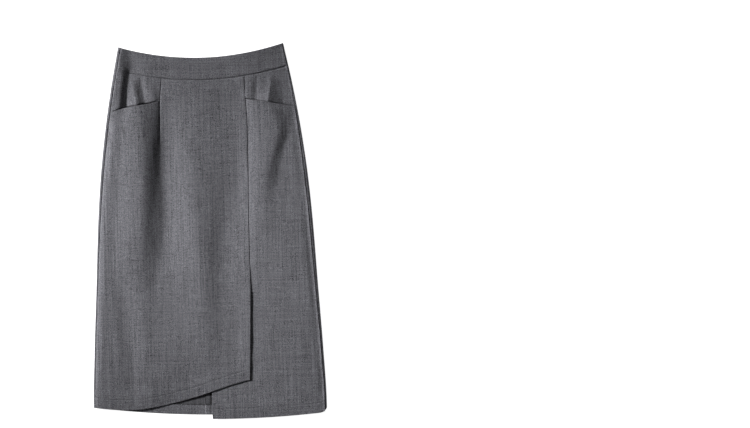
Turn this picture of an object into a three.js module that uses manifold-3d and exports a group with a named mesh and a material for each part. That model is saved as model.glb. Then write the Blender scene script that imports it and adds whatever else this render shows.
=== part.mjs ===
// A wrap-front pencil skirt in grey suiting, laid flat on its back with the front up.
// Millimetres. +X is the wearer's left, +Y runs from hem to waist, +Z is up.
// The origin is the middle of the skirt's box, on the surface that it lies on.
import * as THREE from "three";
import Module from "manifold-3d";

const wasm = await Module();
wasm.setup();

// Driving sizes
const CLOTH = 1.2; // wall of one layer of suiting
const BAND_WALL = 2.2; // waistband: two layers with stiffening between them
const SEAM_GAP = 0.3; // between pieces that are sewn edge to edge
const LAID_GAP = 0.6; // between layers that lie on each other

const WAIST_HALF = 165; // half the flat waist, at its top corners
const WAIST_TOP_Y = 349; // top edge at the centre
const BAND_HEIGHT = 45;
const WAIST_DIP = 25; // how far the contoured waist dips at the centre
const BACK_HEM_Y = -365; // back hem at the centre
const HEM_DIP = 14; // how far the hem dips at the centre
const HEM_SKEW = 6; // how far the hem rises on the wearer's right and drops on the left
const SIDE_PANEL_DROP = 8.8; // how far the front side panel hangs below the back
const HEM_DEPTH = 20; // turned-up hem
const BACK_SEAM_ALLOWANCE = 10; // pressed open on the inside of the centre back seam
const ALLOWANCE_WALL = 0.9;

const LAP = 12; // how far the side panel runs under the wrap above the slit
const UNDERLAP_X = 4; // free edge of the underlap below the top of the slit
const SLIT_TOP_Y = -98;
const SLIT_OPENING = 2.2; // how far the free edge of the wrap stands off the underlap

const POCKET_BAG_DEPTH = 70; // the bearer carries on this far below the pocket mouth
const POCKET_LIFT = 2.6; // how far the pocket front stands above the bearer
const POCKET_FLARE = 0.9; // more of the same, right at the mouth
const BAG_INSET = 20; // the bag stops this far from the side seam and from the dart

const ZIP_BULGE = 2.2; // the waistband arches this far over the slider and its pull
const ZIP_LENGTH = 212;
const SLIDER_TOP_Y = 348;
const HINGE_Y = 343.5; // pull tab hinge
const HINGE_Z = 1.4;
const PULL_LENGTH = 24;

// Half the flat width of the skirt, from the top corners to the hem
const OUTLINE = [
  { y: 374, half: WAIST_HALF },
  { y: 294, half: 181 },
  { y: 204, half: 195.5 },
  { y: 113, half: 206.5 },
  { y: 22, half: 214 },
  { y: -114, half: 221.5 },
  { y: -240, half: 229 },
  { y: -345, half: 233 },
  { y: -375, half: 233 },
];

// How far the back rolls round on to the front, up to the side seams, and how high the wearer's
// left seam lies above the other layers. The right seam lies flat.
const SIDE_ROLL = [
  { y: 374, right: 3, left: 3, leftLift: 0 },
  { y: 329, right: 4, left: 3, leftLift: 0 },
  { y: 225, right: 5, left: 4, leftLift: 1 },
  { y: 60, right: 5, left: 6, leftLift: 3.4 },
  { y: -20, right: 5, left: 8, leftLift: 3.4 },
  { y: -120, right: 2.4, left: 8, leftLift: 2.6 },
  { y: -240, right: 2.6, left: 7.6, leftLift: 1.8 },
  { y: -375, right: 3.6, left: 4.4, leftLift: 0.6 },
];

// How high the front stands off the back, along the lines where it crests and dips. Each line
// is a table of places from the waist down to the hem, with its height there.
const SHOULDER_RIGHT = [
  { y: 374, x: -151, height: 2.2 },
  { y: 330, x: -156, height: 2.8 },
  { y: 265, x: -170, height: 3.4 },
  { y: 200, x: -181, height: 4 },
  { y: 120, x: -190, height: 4.2 },
  { y: 40, x: -197, height: 4.2 },
  { y: -120, x: -207, height: 3.2 },
  { y: -240, x: -214, height: 2.4 },
  { y: -375, x: -218, height: 1.6 },
];
const CREST_RIGHT = [
  { y: 374, x: -112, height: 2.6 },
  { y: 330, x: -116, height: 3.6 },
  { y: 265, x: -129, height: 6.8 },
  { y: 200, x: -123, height: 10.8 },
  { y: 120, x: -121, height: 12.6 },
  { y: 40, x: -128, height: 12.2 },
  { y: -40, x: -136, height: 10 },
  { y: -120, x: -140, height: 6.8 },
  { y: -240, x: -134, height: 4.2 },
  { y: -375, x: -130, height: 2.2 },
];
const DIP_BELOW_DART = [
  { y: 374, x: -80, height: 2.6 },
  { y: 330, x: -80, height: 3.2 },
  { y: 265, x: -84, height: 1.4 },
  { y: 187, x: -86, height: 1.2 },
  { y: 120, x: -83, height: 1.3 },
  { y: 40, x: -84, height: 1.8 },
  { y: -40, x: -94, height: 3.2 },
  { y: -120, x: -106, height: 5 },
  { y: -240, x: -106, height: 3.8 },
  { y: -375, x: -106, height: 2 },
];
const CREST_CENTRE = [
  { y: 374, x: -26, height: 2.8 },
  { y: 330, x: -26, height: 3.8 },
  { y: 265, x: -6, height: 5.4 },
  { y: 200, x: -2, height: 7 },
  { y: 120, x: -20, height: 9.2 },
  { y: 40, x: -22, height: 10.4 },
  { y: -40, x: -14, height: 9.8 },
  { y: -120, x: -12, height: 7.4 },
  { y: -240, x: -15, height: 4.6 },
  { y: -375, x: -15, height: 2.4 },
];
const DIP_CENTRE = [
  { y: 374, x: 45, height: 2.6 },
  { y: 330, x: 45, height: 3.4 },
  { y: 265, x: 46, height: 2.4 },
  { y: 200, x: 52, height: 1.8 },
  { y: 120, x: 54, height: 1.4 },
  { y: 40, x: 48, height: 1.8 },
  { y: -40, x: 40, height: 2.4 },
  { y: -120, x: 36, height: 3.4 },
  { y: -240, x: 38, height: 3.1 },
  { y: -375, x: 24, height: 1.7 },
];
const CREST_LEFT = [
  { y: 374, x: 92, height: 2.4 },
  { y: 330, x: 98, height: 3.6 },
  { y: 265, x: 118, height: 5.8 },
  { y: 200, x: 142, height: 7.2 },
  { y: 160, x: 134, height: 7.8 },
  { y: 120, x: 124, height: 8.6 },
  { y: 80, x: 117, height: 9 },
  { y: 40, x: 120, height: 9.3 },
  { y: -40, x: 124, height: 8.6 },
  { y: -120, x: 128, height: 6.6 },
  { y: -240, x: 132, height: 4.6 },
  { y: -375, x: 132, height: 2.4 },
];
const DIP_LEFT = [
  { y: 374, x: 130, height: 1.8 },
  { y: 330, x: 136, height: 2.4 },
  { y: 265, x: 168, height: 1.8 },
  { y: 200, x: 176, height: 1.5 },
  { y: 160, x: 165, height: 2.2 },
  { y: 120, x: 151, height: 3.7 },
  { y: 80, x: 144, height: 5.2 },
  { y: 40, x: 139, height: 7.8 },
  { y: -40, x: 148, height: 8.4 },
  { y: -120, x: 155, height: 6.4 },
  { y: -240, x: 160, height: 4.4 },
  { y: -375, x: 160, height: 2.3 },
];
const SHOULDER_LEFT = [
  { y: 374, x: 151, height: 1.6 },
  { y: 330, x: 157, height: 1.8 },
  { y: 265, x: 176, height: 1.7 },
  { y: 200, x: 186, height: 1.9 },
  { y: 160, x: 188, height: 2.8 },
  { y: 120, x: 188, height: 4.3 },
  { y: 80, x: 190, height: 5.6 },
  { y: 40, x: 192, height: 6.9 },
  { y: -40, x: 198, height: 6.6 },
  { y: -120, x: 203, height: 5 },
  { y: -240, x: 210, height: 3.5 },
  { y: -375, x: 214, height: 1.8 },
];
const CREASE_END_Y = 110; // the dip under the dart is sharp down to here
const EDGE_ROUND = 4; // the front turns down to the side seams within this
const EDGE_RISE_RIGHT = 1.5;
const EDGE_RISE_LEFT = 0.5;

// Shorter soft folds. Each runs from its upper to its lower end and takes a share of the height
// away, or adds to it where the share is negative. left and right are half-widths at the upper
// end, taper the share of them left at the lower end, and crease how sharp the bottom is.
const FRONT_FOLDS = [
  // near the side seam, down to the hem
  { fromX: -180, fromY: -50, toX: -152, toY: -352, curl: 1, share: 0.42, left: 24, right: 30,
    taper: 1, crease: 0.1, fadeIn: 0.45, fadeOut: 0.15 },
];

// Folds of the waistband and the pocket bearers only
const YOKE_FOLDS = [
  // roll over the hip bone, and the hollow beside it
  { fromX: -163, fromY: 378, toX: -176, toY: 245, curl: 1, share: -0.75, left: 10, right: 13,
    taper: 1, crease: 0, fadeIn: 0, fadeOut: 0.3 },
  { fromX: -137, fromY: 378, toX: -160, toY: 225, curl: 0.8, share: 0.8, left: 16, right: 24,
    taper: 0.85, crease: 0.5, fadeIn: 0, fadeOut: 0.2 },
  { fromX: -128, fromY: 332, toX: -114, toY: 225, curl: 0.7, share: 0.6, left: 13, right: 18,
    taper: 1, crease: 0.4, fadeIn: 0.2, fadeOut: 0.25 },
  { fromX: 143, fromY: 336, toX: 160, toY: 225, curl: 1, share: 0.65, left: 13, right: 22,
    taper: 1, crease: 0.4, fadeIn: 0.2, fadeOut: 0.25 },
  { fromX: 117, fromY: 320, toX: 104, toY: 235, curl: 1, share: 0.35, left: 10, right: 14,
    taper: 1, crease: 0.2, fadeIn: 0.2, fadeOut: 0.35 },
];

// Outline of the wrap's hem, the seam down the front, the dart and the pocket mouths
const WRAP_HEM = [
  { x: -235, y: -344.5 },
  { x: -190, y: -350.2 },
  { x: -150, y: -351.5 },
  { x: -100, y: -345 },
  { x: -36, y: -331 },
  { x: 20, y: -314 },
  { x: 51, y: -304.5 },
  { x: 84, y: -296.5 },
];
const FRONT_SEAM = [
  { y: 310, x: 84 },
  { y: 203, x: 88.5 },
  { y: -25, x: 86.5 },
  { y: -300, x: 81 },
];
const DART = [
  { y: 310, x: -80 },
  { y: 264, x: -84 },
  { y: 187, x: -86 },
];
const RIGHT_MOUTH = [
  { x: -192, y: 241 },
  { x: -152, y: 252.5 },
  { x: -110, y: 259 },
  { x: -84, y: 265 },
];
const LEFT_MOUTH = [
  { x: 86, y: 264.5 },
  { x: 128, y: 257 },
  { x: 192, y: 246 },
];
const BACK_DART = [
  { y: 310, x: 87 },
  { y: 200, x: 95 },
];
const BACK_DART_DEPTH = 0.6;
const BACK_DART_HALF = 5;

// Colours
const SUITING = new THREE.MeshStandardMaterial({ color: 0x66666a, roughness: 0.9, metalness: 0 });
const ZIP_TAPE = new THREE.MeshStandardMaterial({ color: 0x3c3c40, roughness: 0.8, metalness: 0 });
const ZIP_METAL = new THREE.MeshStandardMaterial({ color: 0x55555c, roughness: 0.4, metalness: 0.6 });

const mix = (a, b, t) => a + (b - a) * t;

function ease(from, to, at) {
  const t = THREE.MathUtils.clamp((at - from) / (to - from), 0, 1);
  return t * t * (3 - 2 * t);
}

// A smooth curve through one column of a table, as a function of another column.
function curveOf(rows, along, across) {
  const sorted = [...rows].sort((a, b) => a[along] - b[along]);
  const at = sorted.map((row) => row[along]);
  const value = sorted.map((row) => row[across]);
  const steps = at.slice(1).map((a, i) => (value[i + 1] - value[i]) / (a - at[i]));
  const tangents = at.map((_, i) => {
    const before = steps[Math.max(i - 1, 0)];
    const after = steps[Math.min(i, steps.length - 1)];
    return before * after <= 0 ? 0 : (2 * before * after) / (before + after);
  });
  return (a) => {
    const c = THREE.MathUtils.clamp(a, at[0], at[at.length - 1]);
    let i = 0;
    while (i < steps.length - 1 && c > at[i + 1]) i += 1;
    const span = at[i + 1] - at[i];
    const t = (c - at[i]) / span;
    const h = t * t * (3 - 2 * t);
    const bend = t * (1 - t) * span;
    return mix(value[i], value[i + 1], h) + bend * ((1 - t) * tangents[i] - t * tangents[i + 1]);
  };
}

const halfWidth = curveOf(OUTLINE, "y", "half");
const rollRight = curveOf(SIDE_ROLL, "y", "right");
const rollLeft = curveOf(SIDE_ROLL, "y", "left");
const leftLift = curveOf(SIDE_ROLL, "y", "leftLift");
const reliefLines = [SHOULDER_RIGHT, CREST_RIGHT, DIP_BELOW_DART, CREST_CENTRE, DIP_CENTRE,
  CREST_LEFT, DIP_LEFT, SHOULDER_LEFT].map((rows) => ({
  x: curveOf(rows, "y", "x"),
  height: curveOf(rows, "y", "height"),
}));
const dipBelowDart = 4; // its place among the points of a section, the side seam's included
const wrapHem = curveOf(WRAP_HEM, "x", "y");
const frontSeam = curveOf(FRONT_SEAM, "y", "x");
const dart = curveOf(DART, "y", "x");
const rightMouth = curveOf(RIGHT_MOUTH, "x", "y");
const leftMouth = curveOf(LEFT_MOUTH, "x", "y");
const backDart = curveOf(BACK_DART, "y", "x");

const waistTop = (x) => WAIST_TOP_Y + WAIST_DIP * (x / WAIST_HALF) ** 2;
const waistSeam = (x) => WAIST_TOP_Y - BAND_HEIGHT + WAIST_DIP * (x / halfWidth(329)) ** 2;
const backHem = (x) => {
  const across = x / halfWidth(BACK_HEM_Y);
  return BACK_HEM_Y + HEM_DIP * across ** 2 - HEM_SKEW * across;
};
const sideHem = (x) => backHem(x) - SIDE_PANEL_DROP;
// Where the side seams lie on the front
const rightSeam = (y) => -(halfWidth(y) - rollRight(y));
const leftSeam = (y) => halfWidth(y) - rollLeft(y);
// Free or lapped edge of the side panel, under the wrap
const lapEdge = (y) => mix(UNDERLAP_X, frontSeam(y) - LAP, ease(SLIT_TOP_Y + 10, SLIT_TOP_Y + 40, y));

// The share of a fold's depth that it has at a point.
function foldAt(fold, x, y) {
  const t = (fold.fromY - y) / (fold.fromY - fold.toY);
  if (t <= 0 || t >= 1) return 0;
  const centre = mix(fold.fromX, fold.toX, t ** fold.curl);
  const width = (x < centre ? fold.left : fold.right) * mix(1, fold.taper, t);
  const off = Math.abs(x - centre) / width;
  if (off >= 1) return 0;
  const round = (1 - off) ** 2 * (1 + 2 * off);
  const sharp = (1 - off) ** 2;
  const begin = fold.fadeIn ? ease(0, fold.fadeIn, t) : 1;
  return mix(round, sharp, fold.crease) * begin * (1 - ease(1 - fold.fadeOut, 1, t));
}

// The front's section across the skirt at y, from side seam to side seam.
function sectionAt(y) {
  return [
    { x: rightSeam(y), height: 0 },
    { x: rightSeam(y) + EDGE_ROUND, height: EDGE_RISE_RIGHT },
    ...reliefLines.map((line) => ({ x: line.x(y), height: line.height(y) })),
    { x: leftSeam(y) - EDGE_ROUND, height: leftLift(y) + EDGE_RISE_LEFT },
    { x: leftSeam(y), height: leftLift(y) },
  ];
}

// Height of the front above the layers under it.
function rise(x, y, folds) {
  const section = sectionAt(y);
  const smooth = curveOf(section, "x", "height")(x);
  const half = x < section[dipBelowDart].x
    ? section.slice(0, dipBelowDart + 1)
    : section.slice(dipBelowDart);
  const creased = curveOf(half, "x", "height")(x);
  const height = mix(smooth, creased, ease(CREASE_END_Y, DART[2].y, y));
  return folds.reduce((z, fold) => z * (1 - fold.share * foldAt(fold, x, y)), height);
}

// The waistband and the back arch over the zip's slider and pull.
function zipBulge(x, y) {
  return ZIP_BULGE * (1 - ease(5.5, 34, Math.abs(x))) * ease(286, 316, y);
}

// Lower face of a front layer where nothing but the back lies under it.
function frontBase(x, y) {
  const overBackHem = CLOTH * (1 - ease(HEM_DEPTH + 3, HEM_DEPTH + 30, y - backHem(x)));
  const overBackBand = (BAND_WALL - CLOTH) * ease(268, 300, y);
  return CLOTH + LAID_GAP + overBackHem + overBackBand;
}

// A hem is two layers deep, so the cloth above it is lifted by one.
const hemLift = (aboveHem) => CLOTH * (1 - ease(HEM_DEPTH, HEM_DEPTH + 26, aboveHem));

function pocketLift(x, y, mouthY, edgeDistance) {
  const across = ease(0, BAG_INSET - 3, edgeDistance);
  const down = ease(mouthY - POCKET_BAG_DEPTH - 110, mouthY - POCKET_BAG_DEPTH - 4, y);
  const flare = POCKET_FLARE * ease(mouthY - 40, mouthY, y) * ease(10, 50, edgeDistance);
  return across * (POCKET_LIFT * down + flare);
}

const allFolds = [...FRONT_FOLDS, ...YOKE_FOLDS];
const yokeFloor = (x, y) => frontBase(x, y) + rise(x, y, allFolds);

// The seam allowance of the side panel and the left bearer dips under the edge of the wrap.
function lapDip(x, y) {
  const above = ease(SLIT_TOP_Y - 4, SLIT_TOP_Y + 22, y);
  return (CLOTH + SEAM_GAP) * above * (1 - ease(frontSeam(y) - 0.5, frontSeam(y) + 7, x));
}

// The wrap climbs over the underlap so gently that its edge doesn't print through.
function wrapFloor(x, y) {
  const edge = mix(UNDERLAP_X, frontSeam(y) - LAP, ease(SLIT_TOP_Y + 12, SLIT_TOP_Y + 190, y));
  const above = ease(SLIT_TOP_Y + 22, SLIT_TOP_Y + 190, y);
  const overLap = mix(CLOTH + LAID_GAP, LAID_GAP, above) * ease(edge - 70, edge - 2, x);
  const openEdge = SLIT_OPENING * (1 - ease(SLIT_TOP_Y - 60, SLIT_TOP_Y, y)) * ease(48, 80, x);
  const pocket = x < dart(y) ? pocketLift(x, y, rightMouth(x),
    Math.min(x - rightSeam(y), dart(y) - x)) : 0;
  return frontBase(x, y) + rise(x, y, FRONT_FOLDS) + overLap + openEdge + pocket
    + hemLift(y - wrapHem(x));
}

function sidePanelFloor(x, y) {
  const pocket = x > frontSeam(y) ? pocketLift(x, y, leftMouth(x),
    Math.min(leftSeam(y) - x, x - frontSeam(y))) : 0;
  return frontBase(x, y) + rise(x, y, FRONT_FOLDS) + pocket - lapDip(x, y)
    + hemLift(y - sideHem(x));
}

const leftBearerFloor = (x, y) => yokeFloor(x, y) - lapDip(x, y);

// Vertical thickness of a wall that keeps its true thickness on a slope.
function upright(floor, wall, x, y) {
  const step = 0.5;
  const slopeX = (floor(x + step, y) - floor(x - step, y)) / (2 * step);
  const slopeY = (floor(x, y + step) - floor(x, y - step)) / (2 * step);
  return wall * Math.min(Math.hypot(1, slopeX, slopeY), 1.5);
}

// A closed wall between two nets of points. has(i, j) says which cells are cloth.
function wallGeometry(net, has) {
  const positions = [];
  const index = [];
  const cloth = (i, j) =>
    i >= 0 && j >= 0 && i < net.length - 1 && j < net[0].length - 1 && has(i, j);
  const ids = net.map((column) =>
    column.map(({ upper, lower }) => {
      positions.push(...upper, ...lower);
      return positions.length / 3 - 2;
    }),
  );
  const quad = (a, b, c, d) => index.push(a, b, c, a, c, d);
  for (let i = 0; i < net.length - 1; i += 1) {
    for (let j = 0; j < net[0].length - 1; j += 1) {
      if (!cloth(i, j)) continue;
      const [a, b, c, d] = [ids[i][j], ids[i][j + 1], ids[i + 1][j + 1], ids[i + 1][j]];
      quad(a, b, c, d);
      quad(d + 1, c + 1, b + 1, a + 1);
      if (!cloth(i - 1, j)) quad(b, a, a + 1, b + 1);
      if (!cloth(i + 1, j)) quad(d, c, c + 1, d + 1);
      if (!cloth(i, j - 1)) quad(a, d, d + 1, a + 1);
      if (!cloth(i, j + 1)) quad(c, b, b + 1, c + 1);
    }
  }
  return facingOut(positions, index);
}

// Drops the points that no face uses, and turns the faces out.
function facingOut(positions, index) {
  const used = new Map();
  const kept = [];
  const faces = index.map((id) => {
    if (!used.has(id)) {
      used.set(id, used.size);
      kept.push(...positions.slice(3 * id, 3 * id + 3));
    }
    return used.get(id);
  });
  const at = (id) => new THREE.Vector3().fromArray(kept, 3 * id);
  let volume = 0;
  for (let f = 0; f < faces.length; f += 3) {
    volume += at(faces[f]).dot(at(faces[f + 1]).cross(at(faces[f + 2])));
  }
  if (volume < 0) faces.reverse();
  const geometry = new THREE.BufferGeometry();
  geometry.setAttribute("position", new THREE.Float32BufferAttribute(kept, 3));
  geometry.setIndex(faces);
  geometry.computeVertexNormals();
  return geometry;
}

function named(name, geometry, material) {
  const mesh = new THREE.Mesh(geometry, material);
  mesh.name = name;
  return mesh;
}

// The y at which a column of a panel meets a boundary that is a function of x.
function meeting(columnX, boundary, startY) {
  let y = startY;
  for (let pass = 0; pass < 8; pass += 1) y = boundary(columnX(y));
  return y;
}

const spread = (count, from, to) =>
  Array.from({ length: count + 1 }, (_, k) => mix(from, to, k / count));

// Net of a front piece. Each column is x as a function of y. Each row is either a place between
// two boundaries or a height above the hem, where the wall doubles below the top of the hem.
function panelNet({ columns, rows, floor, wall, hem }) {
  return columns.map((columnX) =>
    rows.map((row) => {
      const from = meeting(columnX, row.from, 0);
      const y = row.to ? mix(from, meeting(columnX, row.to, 0), row.at) : from + row.above;
      const x = columnX(y);
      const low = floor(x, y);
      const high = low + upright(floor, wall, x, y);
      const turned = hem && row.turned ? CLOTH : 0;
      return { upper: [x, y, high], lower: [x, y, low - turned] };
    }),
  );
}

const rowsBetween = (from, to, places) => places.map((at) => ({ from, to, at }));
const belowSeam = (x) => waistSeam(x) - SEAM_GAP / 2;
const aboveSeam = (x) => waistSeam(x) + SEAM_GAP / 2;

// Rows of a turned-up hem: its stitched top, then down to the fold.
function hemRows(hem) {
  return [
    { from: hem, above: HEM_DEPTH },
    { from: hem, above: HEM_DEPTH - 0.8, turned: true },
    { from: hem, above: HEM_DEPTH / 2, turned: true },
    { from: hem, above: 0, turned: true },
  ];
}

// Columns between two edges that are functions of y, at the given shares of the width.
const columnsBetween = (left, right, places) =>
  places.map((at) => (y) => mix(left(y), right(y), at));

// Front wrap panel: centre and wearer's right, with the dart and the pocket front in one piece.
function frontWrapPanel() {
  const pocketSide = (y) => rightSeam(y) + SEAM_GAP / 2;
  const pocketPlaces = [0, 0.04, 0.11, 0.2, 0.3, 0.4, 0.5, 0.6, 0.69, 0.77, 0.84, 0.9, 0.95];
  const centrePlaces = [0, 0.03, 0.07, 0.12, 0.18, 0.25, 0.33, 0.42, 0.5, 0.56, 0.64, 0.74, 0.84,
    0.93, 1];
  const columns = [
    ...columnsBetween(pocketSide, dart, pocketPlaces),
    ...columnsBetween(dart, frontSeam, centrePlaces),
  ];
  const mouth = (x) => (x < DART[1].x ? rightMouth(x) : RIGHT_MOUTH[3].y);
  const hemTop = (x) => wrapHem(x) + HEM_DEPTH;
  const body = [0, 0.012, 0.035, 0.07, 0.11, 0.155, 0.2, 0.25, 0.3, 0.35, 0.4, 0.45, 0.5, 0.56,
    0.63, 0.7, 0.77, 0.84, 0.92];
  const yoke = [0, 0.33, 0.66];
  const rows = [
    ...rowsBetween(belowSeam, mouth, yoke),
    ...rowsBetween(mouth, hemTop, body),
    ...hemRows(wrapHem),
  ];
  const net = panelNet({ columns, rows, floor: wrapFloor, wall: CLOTH, hem: true });
  const isCloth = (i, j) => i >= pocketPlaces.length || j >= yoke.length;
  return named("front_wrap_panel", wallGeometry(net, isCloth), SUITING);
}

// Front side panel: wearer's left, with the other pocket front and the underlap of the slit.
function frontSidePanel() {
  const outer = (y) => leftSeam(y) - SEAM_GAP / 2;
  const lapPlaces = [0, 0.25, 0.5, 0.75];
  const columns = [
    ...columnsBetween(lapEdge, frontSeam, lapPlaces),
    ...columnsBetween(frontSeam, outer, [0, 0.06, 0.14, 0.22, 0.3, 0.38, 0.46, 0.54, 0.63, 0.72,
      0.81, 0.89, 0.95, 1]),
  ];
  const mouth = (x) => leftMouth(Math.max(x, LEFT_MOUTH[0].x));
  const hemTop = (x) => sideHem(x) + HEM_DEPTH;
  const rows = [
    ...rowsBetween(mouth, hemTop, [0, 0.012, 0.04, 0.08, 0.12, 0.16, 0.21, 0.26, 0.31, 0.36, 0.42,
      0.48, 0.515, 0.535, 0.555, 0.58, 0.63, 0.7, 0.78, 0.86, 0.93]),
    ...hemRows(sideHem),
  ];
  const net = panelNet({ columns, rows, floor: sidePanelFloor, wall: CLOTH, hem: true });
  return named("front_side_panel", wallGeometry(net, () => true), SUITING);
}

// Pocket bearers: the hip pieces that show above the pocket mouths and back the pockets below.
function pocketBearer(name, { left, right, bagLeft, bagRight, mouth, floor }) {
  const columns = [
    ...columnsBetween(left, bagLeft, [0, 0.3, 0.65]),
    ...columnsBetween(bagLeft, bagRight, spread(9, 0, 1)),
    ...columnsBetween(bagRight, right, [0.35, 0.7, 1]),
  ];
  const bagBottom = (x) => mouth(x) - POCKET_BAG_DEPTH;
  const mouthLine = (x) => mouth(x) + SEAM_GAP;
  const rows = [
    ...rowsBetween(belowSeam, mouthLine, spread(4, 0, 1)),
    ...rowsBetween(mouthLine, bagBottom, [0.2, 0.45, 0.72, 1]),
  ];
  const net = panelNet({ columns, rows, floor, wall: CLOTH });
  const isCloth = (i, j) => j < 4 || (i >= 3 && i < net.length - 4);
  return named(name, wallGeometry(net, isCloth), SUITING);
}

function frontWaistband() {
  const right = (y) => rightSeam(y) + SEAM_GAP / 2;
  const left = (y) => leftSeam(y) - SEAM_GAP / 2;
  const places = [0, 0.018, 0.04, 0.065, 0.09, 0.12, 0.16, 0.22, 0.29, 0.36, 0.42, 0.47, 0.53,
    0.58, 0.64, 0.71, 0.78, 0.84, 0.88, 0.91, 0.94, 0.97, 0.985, 1];
  const net = panelNet({
    columns: columnsBetween(right, left, places),
    rows: rowsBetween(aboveSeam, waistTop, spread(4, 0, 1)),
    floor: yokeFloor,
    wall: BAND_WALL,
  });
  return named("front_waistband", wallGeometry(net, () => true), SUITING);
}

// Groove of the back dart, on the outer face
function backDartDip(x, y) {
  const across = 1 - ease(0, BACK_DART_HALF, Math.abs(Math.abs(x) - backDart(y)));
  return BACK_DART_DEPTH * across * ease(BACK_DART[1].y, BACK_DART[1].y + 60, y);
}

// Half of the back, from the centre seam out to the side, where it rolls up and over to the seam
// with the front. Its outer face is the one that the skirt lies on.
function backHalf(name, { side, columnsFlat, rows, wall, frontTop, dip, inner }) {
  const seamAt = (y) => (side > 0 ? leftSeam(y) : -rightSeam(y)) + SEAM_GAP / 2;
  const arcSteps = 6;
  const places = [
    ...columnsFlat.map((at) => ({ flat: at })),
    ...spread(arcSteps, 0, 1).slice(1).map((at) => ({ arc: at * Math.PI })),
    { strip: 1 },
  ];
  const pointAt = (place, row) => {
    const startX = halfWidth(329);
    const columnX = (y) => side * (place.flat ? place.flat(y) : halfWidth(y));
    const from = meeting(columnX, row.from, startX);
    const y = row.to ? mix(from, meeting(columnX, row.to, startX), row.at) : from + row.above;
    const outerRadius = frontTop(side * seamAt(y), y) / 2;
    const bend = halfWidth(y) - outerRadius;
    if (place.flat) {
      const away = place.flat(y);
      const x = side * Math.min(away, bend);
      const low = zipBulge(x, y) + dip(x, y);
      const turned = row.turned && away < bend - 3 ? CLOTH : 0;
      return { lower: [x, y, low], upper: [x, y, low + wall + turned + inner(Math.abs(x), y)] };
    }
    const angle = place.arc ?? Math.PI;
    const outX = place.strip ? seamAt(y) : bend + outerRadius * Math.sin(angle);
    const inX = place.strip ? seamAt(y) : bend + (outerRadius - wall) * Math.sin(angle);
    const outZ = outerRadius * (1 - Math.cos(angle));
    const inZ = outerRadius - (outerRadius - wall) * Math.cos(angle);
    return { lower: [side * outX, y, outZ], upper: [side * inX, y, inZ] };
  };
  const net = places.map((place) => rows.map((row) => pointAt(place, row)));
  return named(name, wallGeometry(net, () => true), SUITING);
}

function backPanel(name, side) {
  const hemTop = (x) => backHem(x) + HEM_DEPTH;
  const half = SEAM_GAP / 2;
  const dartAt = (offset) => (y) => backDart(Math.max(y, BACK_DART[1].y)) + offset;
  const sideAt = (at) => (y) => mix(dartAt(BACK_DART_HALF)(y), halfWidth(y) - 8, at);
  return backHalf(name, {
    side,
    wall: CLOTH,
    columnsFlat: [
      () => half,
      () => BACK_SEAM_ALLOWANCE,
      () => BACK_SEAM_ALLOWANCE + 0.8,
      () => 34,
      () => 60,
      dartAt(-BACK_DART_HALF),
      dartAt(0),
      dartAt(BACK_DART_HALF),
      sideAt(0.35),
      sideAt(0.7),
      sideAt(1),
      (y) => halfWidth(y),
    ],
    rows: [
      ...rowsBetween(belowSeam, hemTop, [0, 0.03, 0.07, 0.12, 0.17, 0.24, 0.32, 0.4, 0.5, 0.6,
        0.7, 0.8, 0.9]),
      ...hemRows(backHem),
    ],
    frontTop: frontTopAtSide,
    dip: backDartDip,
    inner: (x) => (x <= BACK_SEAM_ALLOWANCE ? ALLOWANCE_WALL : 0),
  });
}

// Top of the front beside the side seam, which the rolled edge of the back meets.
function frontTopAtSide(x, y) {
  const hem = x < 0 ? wrapHem(x) : sideHem(x);
  return frontBase(x, y) + hemLift(y - hem) + CLOTH + (x < 0 ? 0 : leftLift(y));
}

function backWaistband(name, side) {
  // Opens round the slider at the top of the zip
  const centreEdge = (y) => mix(SEAM_GAP / 2, 3.2, ease(329, 335, y));
  return backHalf(name, {
    side,
    wall: BAND_WALL,
    columnsFlat: [
      centreEdge,
      () => 8,
      () => 14,
      () => 22,
      () => 34,
      () => 62,
      () => 92,
      () => 122,
      (y) => halfWidth(y) - 14,
      (y) => halfWidth(y),
    ],
    rows: rowsBetween(aboveSeam, waistTop, [0, 0.28, 0.56, 0.7, 0.82, 1]),
    frontTop: (x, y) => frontBase(x, y) + BAND_WALL + (x < 0 ? 0 : leftLift(y)),
    dip: () => 0,
    inner: () => 0,
  });
}

// Zip chain, inside the skirt along the centre back seam
function zipChain() {
  const halfWide = 1.7;
  const thick = 1;
  const top = HINGE_Y - 8;
  const bandEnd = WAIST_TOP_Y - BAND_HEIGHT;
  const places = [0, 0.05, 0.09, 0.13, 0.17, 0.22, 0.3, 0.45, 0.7, 1];
  const net = [-halfWide, 0, halfWide].map((x) =>
    places.map((at) => {
      const y = mix(top, top - ZIP_LENGTH, at);
      const lining = mix(CLOTH + ALLOWANCE_WALL, BAND_WALL, ease(bandEnd - 14, bandEnd - 1, y));
      const low = zipBulge(0, y) + lining + SEAM_GAP;
      return { lower: [x, y, low], upper: [x, y, low + thick] };
    }),
  );
  return named("zip_chain", wallGeometry(net, () => true), ZIP_TAPE);
}

// three.js geometry to a solid of the boolean library and back, for the slider
function toSolid(geometry) {
  const flat = geometry.index ? geometry.toNonIndexed() : geometry;
  const source = flat.getAttribute("position").array;
  const seen = new Map();
  const vertices = [];
  const triangles = [];
  for (let k = 0; k < source.length; k += 3) {
    const key = [0, 1, 2].map((n) => Math.round(source[k + n] * 1e4)).join();
    if (!seen.has(key)) {
      seen.set(key, seen.size);
      vertices.push(source[k], source[k + 1], source[k + 2]);
    }
    triangles.push(seen.get(key));
  }
  return new wasm.Manifold(new wasm.Mesh({
    numProp: 3,
    vertProperties: new Float32Array(vertices),
    triVerts: new Uint32Array(triangles),
  }));
}

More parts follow.
